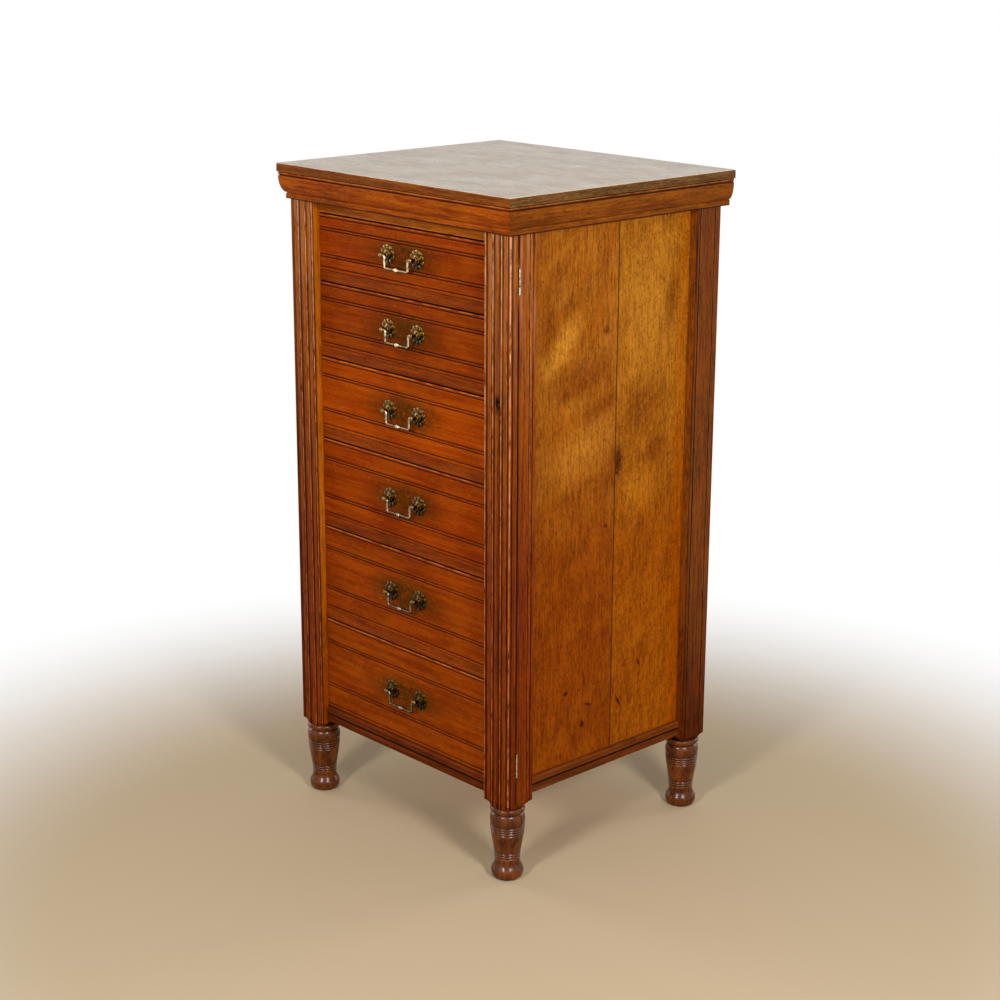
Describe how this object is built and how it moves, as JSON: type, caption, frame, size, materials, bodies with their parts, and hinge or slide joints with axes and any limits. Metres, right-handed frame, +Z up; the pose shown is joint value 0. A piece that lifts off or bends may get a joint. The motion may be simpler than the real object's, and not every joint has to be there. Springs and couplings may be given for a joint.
{
  "type": "wellington chest",
  "caption": "Tall narrow oak chest of drawers on turned feet, with reeded corner posts, brass bail handles and a hinged stile with a lock at the right of the drawers.",
  "frame": {"origin": "on the floor under the middle of the case", "axes": "+X to the right along the front, +Y from the front to the back, +Z up"},
  "size_m": [0.574, 0.514, 1.14],
  "materials": {
    "polished_oak": "polished, warm orange brown",
    "dark_oak": "polished, dark red brown",
    "golden_oak": "polished, golden with ray flecks",
    "pale_worn_oak": "polished, pale and worn",
    "raw_oak": "unpolished",
    "aged_brass": "aged, bright where handled",
    "dark_iron": "dark, plain"
  },
  "bodies": {
    "carcass": {"top_board": "pale_worn_oak", "cornice_front": "dark_oak", "cornice_left": "dark_oak", "cornice_right": "dark_oak", "post_front_left": "dark_oak", "post_front_right": "dark_oak", "post_back_left": "dark_oak", "post_back_right": "dark_oak", "side_panel_left": "golden_oak", "side_panel_right": "golden_oak", "side_rail_left": "polished_oak", "side_rail_right": "polished_oak", "side_top_rail_left": "raw_oak", "side_top_rail_right": "raw_oak", "frieze_rail": "polished_oak", "front_bottom_rail": "polished_oak", "back_panel": "raw_oak", "dust_board_1": "polished_oak", "dust_board_2": "polished_oak", "dust_board_3": "polished_oak", "dust_board_4": "polished_oak", "dust_board_5": "polished_oak", "bottom_board": "raw_oak", "upper_hinge_post_leaf": "aged_brass", "lower_hinge_post_leaf": "aged_brass"},
    "drawer_1": {"drawer_1_front": "polished_oak", "drawer_1_tray": "raw_oak", "drawer_1_rose_left": "aged_brass", "drawer_1_rose_right": "aged_brass"},
    "drawer_1_bail": {"drawer_1_bail": "aged_brass"},
    "drawer_2": {"drawer_2_front": "polished_oak", "drawer_2_tray": "raw_oak", "drawer_2_rose_left": "aged_brass", "drawer_2_rose_right": "aged_brass"},
    "drawer_2_bail": {"drawer_2_bail": "aged_brass"},
    "drawer_3": {"drawer_3_front": "polished_oak", "drawer_3_tray": "raw_oak", "drawer_3_rose_left": "aged_brass", "drawer_3_rose_right": "aged_brass"},
    "drawer_3_bail": {"drawer_3_bail": "aged_brass"},
    "drawer_4": {"drawer_4_front": "polished_oak", "drawer_4_tray": "raw_oak", "drawer_4_rose_left": "aged_brass", "drawer_4_rose_right": "aged_brass"},
    "drawer_4_bail": {"drawer_4_bail": "aged_brass"},
    "drawer_5": {"drawer_5_front": "polished_oak", "drawer_5_tray": "raw_oak", "drawer_5_rose_left": "aged_brass", "drawer_5_rose_right": "aged_brass"},
    "drawer_5_bail": {"drawer_5_bail": "aged_brass"},
    "drawer_6": {"drawer_6_front": "polished_oak", "drawer_6_tray": "raw_oak", "drawer_6_rose_left": "aged_brass", "drawer_6_rose_right": "aged_brass"},
    "drawer_6_bail": {"drawer_6_bail": "aged_brass"},
    "stile": {"locking_stile": "dark_oak", "upper_hinge_stile_leaf": "aged_brass", "lower_hinge_stile_leaf": "aged_brass", "lock_case": "dark_iron"},
    "lock_bolt": {"lock_bolt": "aged_brass"}
  },
  "joints": [
    {"name": "drawer_1_slide", "type": "slide", "parent": "carcass", "child": "drawer_1", "axis": [0, -1, 0], "range_m": [0, 0.34]},
    {"name": "drawer_1_bail_hinge", "type": "hinge", "parent": "drawer_1", "child": "drawer_1_bail", "pos_m": [0.004, -0.2405, 1.013], "axis": [-1, 0, 0], "range_deg": [0, 85]},
    {"name": "drawer_2_slide", "type": "slide", "parent": "carcass", "child": "drawer_2", "axis": [0, -1, 0], "range_m": [0, 0.34]},
    {"name": "drawer_2_bail_hinge", "type": "hinge", "parent": "drawer_2", "child": "drawer_2_bail", "pos_m": [0.004, -0.2405, 0.89025], "axis": [-1, 0, 0], "range_deg": [0, 85]},
    {"name": "drawer_3_slide", "type": "slide", "parent": "carcass", "child": "drawer_3", "axis": [0, -1, 0], "range_m": [0, 0.34]},
    {"name": "drawer_3_bail_hinge", "type": "hinge", "parent": "drawer_3", "child": "drawer_3_bail", "pos_m": [0.004, -0.2405, 0.7532], "axis": [-1, 0, 0], "range_deg": [0, 85]},
    {"name": "drawer_4_slide", "type": "slide", "parent": "carcass", "child": "drawer_4", "axis": [0, -1, 0], "range_m": [0, 0.34]},
    {"name": "drawer_4_bail_hinge", "type": "hinge", "parent": "drawer_4", "child": "drawer_4_bail", "pos_m": [0.004, -0.2405, 0.60185], "axis": [-1, 0, 0], "range_deg": [0, 85]},
    {"name": "drawer_5_slide", "type": "slide", "parent": "carcass", "child": "drawer_5", "axis": [0, -1, 0], "range_m": [0, 0.34]},
    {"name": "drawer_5_bail_hinge", "type": "hinge", "parent": "drawer_5", "child": "drawer_5_bail", "pos_m": [0.004, -0.2405, 0.4362], "axis": [-1, 0, 0], "range_deg": [0, 85]},
    {"name": "drawer_6_slide", "type": "slide", "parent": "carcass", "child": "drawer_6", "axis": [0, -1, 0], "range_m": [0, 0.34]},
    {"name": "drawer_6_bail_hinge", "type": "hinge", "parent": "drawer_6", "child": "drawer_6_bail", "pos_m": [0.004, -0.2405, 0.25625], "axis": [-1, 0, 0], "range_deg": [0, 85]},
    {"name": "stile_hinge", "type": "hinge", "parent": "carcass", "child": "stile", "pos_m": [0.2737, -0.2225, 0.6095], "axis": [0, 0, 1], "range_deg": [0, 170]},
    {"name": "lock_bolt_slide", "type": "slide", "parent": "stile", "child": "lock_bolt", "axis": [-1, 0, 0], "range_m": [0, 0.009]}
  ]
}
